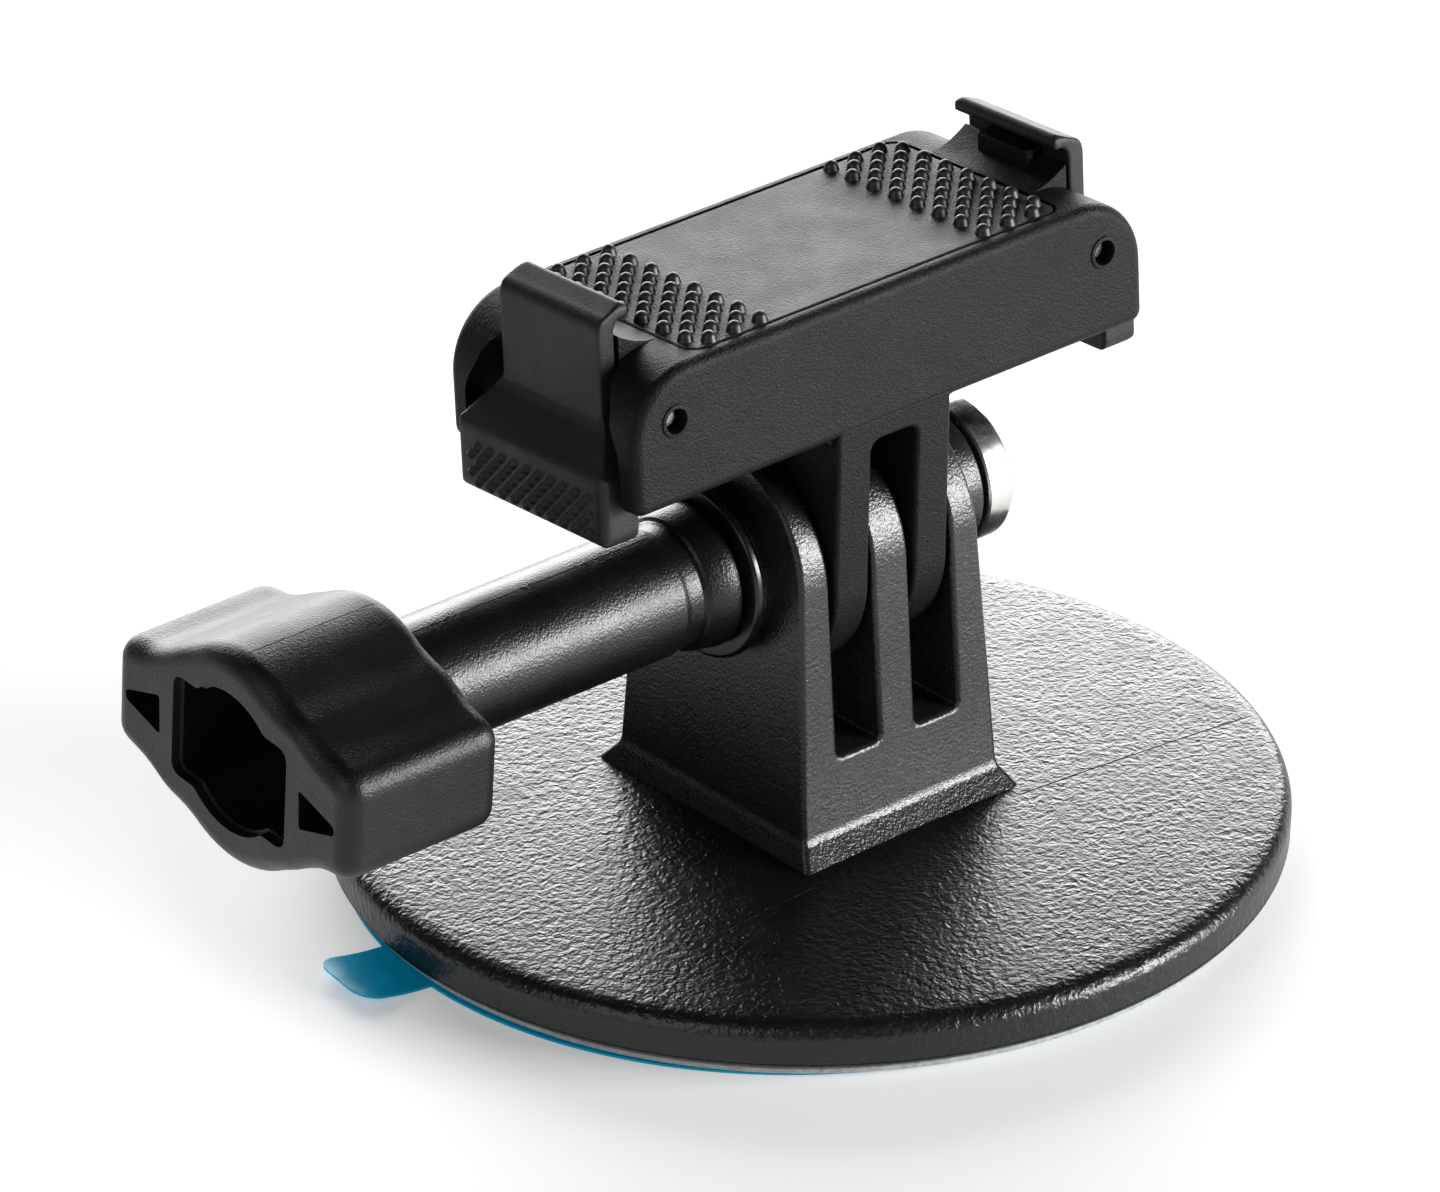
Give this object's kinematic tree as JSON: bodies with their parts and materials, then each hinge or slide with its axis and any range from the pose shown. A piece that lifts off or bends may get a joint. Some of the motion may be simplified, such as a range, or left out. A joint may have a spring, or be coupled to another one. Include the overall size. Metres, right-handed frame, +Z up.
{
  "type": "adhesive action camera mount",
  "caption": "Adhesive disc base with a three-prong fork, a long thumbscrew and a tilting quick-release adapter whose sprung clips hold a camera's foot.",
  "frame": {"origin": "middle of the round base, on the surface it is stuck to (the underside of the release film)", "axes": "+X along the thumbscrew's axis towards the cap nut, -Y out of the front of the fork, +Z up from the surface"},
  "size_m": [0.0721, 0.0578, 0.0422],
  "materials": {
    "base_plastic": "black, semi-gloss, fine leather grain",
    "adapter_plastic": "charcoal, matt, fine grain",
    "clip_plastic": "charcoal, smooth matt",
    "knob_plastic": "black, smooth matt",
    "sleeve_plastic": "black, semi-gloss, coarse grain",
    "pad_rubber": "charcoal rubber, fine speckled grain",
    "polished_steel": "turned and polished steel",
    "plain_steel": "plain drawn steel",
    "magnet_nickel": "nickel plated",
    "adhesive_foam": "grey acrylic foam",
    "film_plastic": "clear cyan film"
  },
  "bodies": {
    "mount": {"base": "base_plastic", "adhesive_pad": "adhesive_foam", "release_film": "film_plastic", "cap_nut": "polished_steel"},
    "washer_slide": {"thrust_washer": "sleeve_plastic"},
    "thumbscrew": {"knob": "knob_plastic", "screw_sleeve": "sleeve_plastic", "clamp_screw": "plain_steel"},
    "adapter": {"adapter_body": "adapter_plastic", "grip_pad": "pad_rubber", "left_magnet": "magnet_nickel", "right_magnet": "magnet_nickel", "keeper_plate": "plain_steel", "left_hinge_pin": "plain_steel", "right_hinge_pin": "plain_steel"},
    "left_latch": {"left_clip": "clip_plastic", "left_torsion_spring": "plain_steel"},
    "right_latch": {"right_clip": "clip_plastic", "right_torsion_spring": "plain_steel"}
  },
  "joints": [
    {"name": "screw_travel", "type": "slide", "parent": "mount", "child": "washer_slide", "axis": [-1, 0, 0], "range_m": [0, 0.0034]},
    {"name": "knob_turn", "type": "hinge", "parent": "washer_slide", "child": "thumbscrew", "pos_m": [-0.02, 0, 0.02087], "axis": [-1, 0, 0], "range_deg": [0, 1530]},
    {"name": "adapter_tilt", "type": "hinge", "parent": "mount", "child": "adapter", "pos_m": [0, 0, 0.02087], "axis": [1, 0, 0], "range_deg": [-88, 95]},
    {"name": "left_clip_open", "type": "hinge", "parent": "adapter", "child": "left_latch", "pos_m": [-0.01643, 0.00086, 0.03585], "axis": [0, -0.9983, 0.0576], "range_deg": [0, 14], "stiffness_Nm_per_rad": 0.03, "springref_deg": -22.92},
    {"name": "right_clip_open", "type": "hinge", "parent": "adapter", "child": "right_latch", "pos_m": [0.01643, 0.00086, 0.03585], "axis": [0, 0.9983, -0.0576], "range_deg": [0, 14], "stiffness_Nm_per_rad": 0.03, "springref_deg": -22.92}
  ],
  "couplings": [
    {"joint": "knob_turn", "follows": "screw_travel", "rad_per_m": 7853.9}
  ]
}
